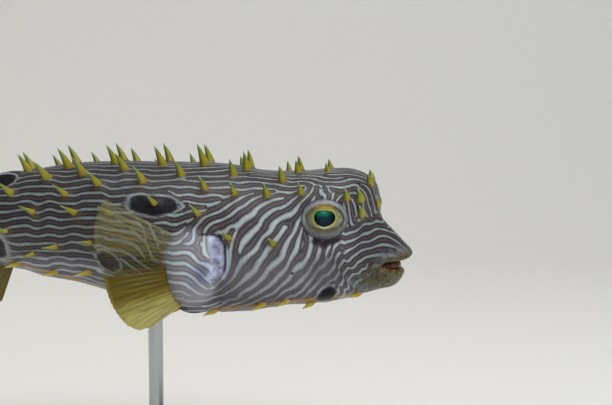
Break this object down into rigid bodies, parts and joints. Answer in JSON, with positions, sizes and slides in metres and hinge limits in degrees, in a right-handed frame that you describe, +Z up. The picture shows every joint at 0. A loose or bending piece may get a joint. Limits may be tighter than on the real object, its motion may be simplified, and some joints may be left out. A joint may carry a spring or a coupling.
{
  "type": "striped burrfish model",
  "caption": "Life-size still model of a striped burrfish: boxy body with short fixed spines, small lipped mouth, round fins, held level by a rod on a flat display stand",
  "frame": {"origin": "centre of the underside of the stand's base, on the floor", "axes": "+X forward through the snout, +Z up, the fish's right side faces -Y"},
  "size_m": [0.1994, 0.0642, 0.1109],
  "materials": {
    "skin": "moist, wavy dark and pale stripes",
    "eye": "wet, green pupil and golden iris",
    "fin": "thin yellow membrane on rays",
    "stand": "fine matt paint",
    "rod": "brushed"
  },
  "bodies": {
    "root": {"head": "skin", "trunk": "skin", "tail": "skin", "eye_right": "eye", "eye_left": "eye", "pectoral_fin_right": "fin", "pectoral_fin_left": "fin", "dorsal_fin": "fin", "anal_fin": "fin", "caudal_fin": "fin", "stand_base": "stand", "stand_rod": "rod"}
  },
  "joints": []
}
